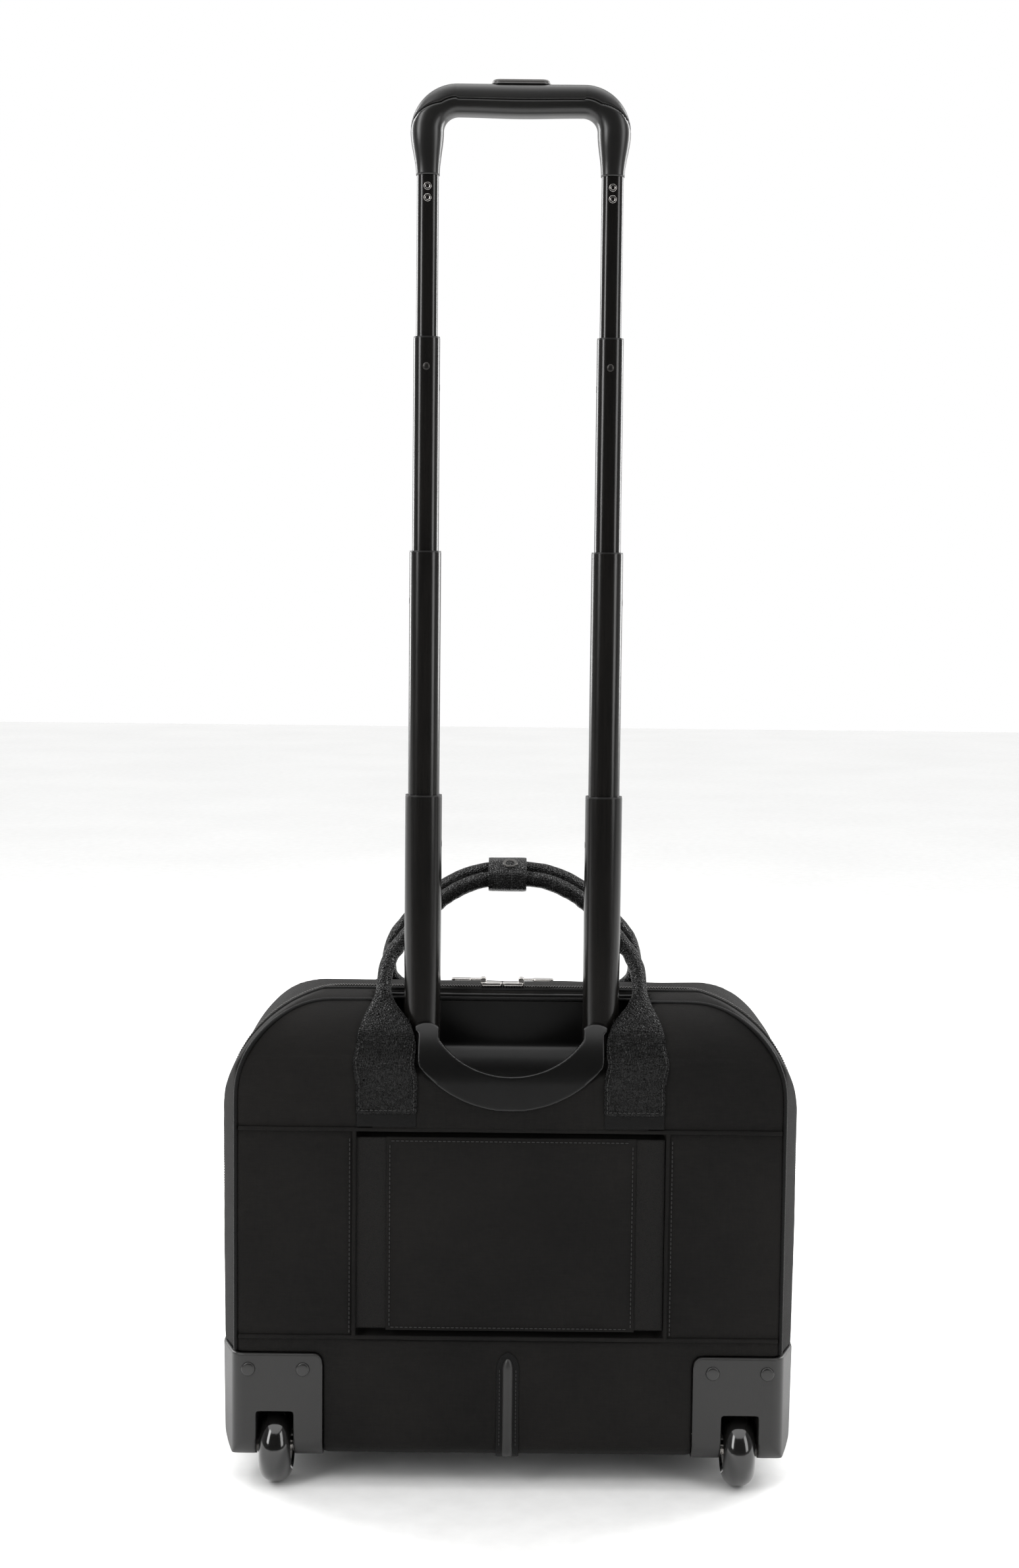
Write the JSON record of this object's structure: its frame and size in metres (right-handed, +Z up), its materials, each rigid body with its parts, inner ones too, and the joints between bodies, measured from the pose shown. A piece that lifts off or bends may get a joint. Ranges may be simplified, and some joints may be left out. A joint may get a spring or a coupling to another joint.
{
  "type": "rolling laptop case",
  "caption": "Soft rolling laptop case with a telescoping twin-tube pull handle, skate wheels, a drop-front lid and leather carry handles.",
  "frame": {"origin": "bottom centre of the whole object's box, on the floor under the case", "axes": "+Z up, -Y out of the back of the case, where the pull handle and wheels are, +X to the right of someone facing the back"},
  "size_m": [0.4288, 0.2106, 1.0215],
  "materials": {
    "shell_fabric": "woven black nylon",
    "lining_fabric": "smooth black lining",
    "piping": "black piping",
    "leather": "pebbled black leather",
    "board_plastic": "sheet plastic",
    "moulded_plastic": "moulded black plastic, fine texture",
    "bush_plastic": "black acetal",
    "anodised_tube": "black anodised, semi-gloss",
    "grip_plastic": "black plastic, satin gloss",
    "grip_soft": "black satin cover",
    "button_plastic": "black gloss",
    "steel": "plain steel",
    "fastener": "black coated steel",
    "foot_rubber": "hard rubber",
    "wheel_tyre": "gloss black polyurethane",
    "wheel_hub": "black nylon",
    "zip_chain": "black nylon coil",
    "zip_metal": "bright nickel plate"
  },
  "bodies": {
    "root": {"rear_shell": "shell_fabric", "trolley_sleeve_panel": "shell_fabric", "back_board": "board_plastic", "divider_panel": "lining_fabric", "rear_piping": "piping", "base_tub": "shell_fabric", "base_board": "board_plastic", "front_feet": "foot_rubber", "rub_strip": "moulded_plastic", "laptop_pocket": "lining_fabric", "document_divider": "lining_fabric", "handle_housing": "moulded_plastic", "scoop_bezel": "moulded_plastic", "outer_sleeve_left": "anodised_tube", "outer_sleeve_right": "anodised_tube", "bushes_5": "bush_plastic", "sleeve_bracket": "board_plastic", "wheel_guard_left": "moulded_plastic", "wheel_guard_right": "moulded_plastic", "wheel_axles": "steel", "guard_rivets": "fastener", "back_straps": "leather", "zip_chain_rear": "zip_chain"},
    "stage_4": {"tube_4_left": "anodised_tube", "tube_4_right": "anodised_tube", "bushes_4": "bush_plastic", "lock_pins_4": "fastener"},
    "stage_3": {"tube_3_left": "anodised_tube", "tube_3_right": "anodised_tube", "bushes_3": "bush_plastic", "lock_pins_3": "fastener"},
    "stage_2": {"tube_2_left": "anodised_tube", "tube_2_right": "anodised_tube", "bushes_2": "bush_plastic", "lock_pins_2": "fastener"},
    "stage_1": {"tube_1_left": "anodised_tube", "tube_1_right": "anodised_tube", "bushes_1": "bush_plastic", "grip_core": "grip_plastic", "grip_cover": "grip_soft", "grip_screws": "fastener"},
    "button": {"grip_button": "button_plastic", "release_yoke": "steel"},
    "wheel_left": {"wheel_tyre_left": "wheel_tyre", "wheel_hub_left": "wheel_hub", "wheel_bearings_left": "steel"},
    "wheel_right": {"wheel_tyre_right": "wheel_tyre", "wheel_hub_right": "wheel_hub", "wheel_bearings_right": "steel"},
    "lid": {"lid_shell": "shell_fabric", "front_pocket": "shell_fabric", "front_straps": "leather", "zip_chain_lid": "zip_chain"},
    "slider_left": {"zip_slider_left": "zip_metal"},
    "pull_left": {"zip_pull_left": "zip_metal"},
    "slider_right": {"zip_slider_right": "zip_metal"},
    "pull_right": {"zip_pull_right": "zip_metal"},
    "back_handle": {"back_handle_roll": "leather", "handle_wrap": "leather"},
    "front_handle": {"front_handle_roll": "leather"}
  },
  "joints": [
    {"name": "stage_4_slide", "type": "slide", "parent": "root", "child": "stage_4", "axis": [0, 0, 1], "range_m": [-0.2, 0]},
    {"name": "stage_3_slide", "type": "slide", "parent": "stage_4", "child": "stage_3", "axis": [0, 0, 1], "range_m": [-0.175, 0]},
    {"name": "stage_2_slide", "type": "slide", "parent": "stage_3", "child": "stage_2", "axis": [0, 0, 1], "range_m": [-0.151, 0]},
    {"name": "stage_1_slide", "type": "slide", "parent": "stage_2", "child": "stage_1", "axis": [0, 0, 1], "range_m": [-0.112, 0]},
    {"name": "button_press", "type": "slide", "parent": "stage_1", "child": "button", "axis": [0, 0, -1], "range_m": [0, 0.003], "stiffness_N_per_m": 600, "springref_m": -0.003},
    {"name": "wheel_left_spin", "type": "hinge", "parent": "root", "child": "wheel_left", "pos_m": [-0.1713, -0.078, 0.02725], "axis": [1, 0, 0], "continuous": true},
    {"name": "wheel_right_spin", "type": "hinge", "parent": "root", "child": "wheel_right", "pos_m": [0.1713, -0.078, 0.02725], "axis": [1, 0, 0], "continuous": true},
    {"name": "lid_hinge", "type": "hinge", "parent": "root", "child": "lid", "pos_m": [0, 0.095, 0.0705], "axis": [-1, 0, 0], "range_deg": [0, 75]},
    {"name": "slider_left_run", "type": "slide", "parent": "lid", "child": "slider_left", "axis": [-1, 0, 0], "range_m": [0, 0.105]},
    {"name": "slider_right_run", "type": "slide", "parent": "lid", "child": "slider_right", "axis": [1, 0, 0], "range_m": [0, 0.105]},
    {"name": "pull_left_flip", "type": "hinge", "parent": "slider_left", "child": "pull_left", "pos_m": [-0.0211, -0.042, 0.3723], "axis": [0, 1, 0], "range_deg": [0, 120]},
    {"name": "pull_right_flip", "type": "hinge", "parent": "slider_right", "child": "pull_right", "pos_m": [0.0071, -0.042, 0.3723], "axis": [0, -1, 0], "range_deg": [0, 120]},
    {"name": "back_handle_swing", "type": "hinge", "parent": "root", "child": "back_handle", "pos_m": [0, -0.0655, 0.3683], "axis": [1, 0, 0], "range_deg": [0, 8]},
    {"name": "front_handle_swing", "type": "hinge", "parent": "lid", "child": "front_handle", "pos_m": [0, 0.008, 0.3703], "axis": [-1, 0, 0], "range_deg": [0, 70]}
  ]
}
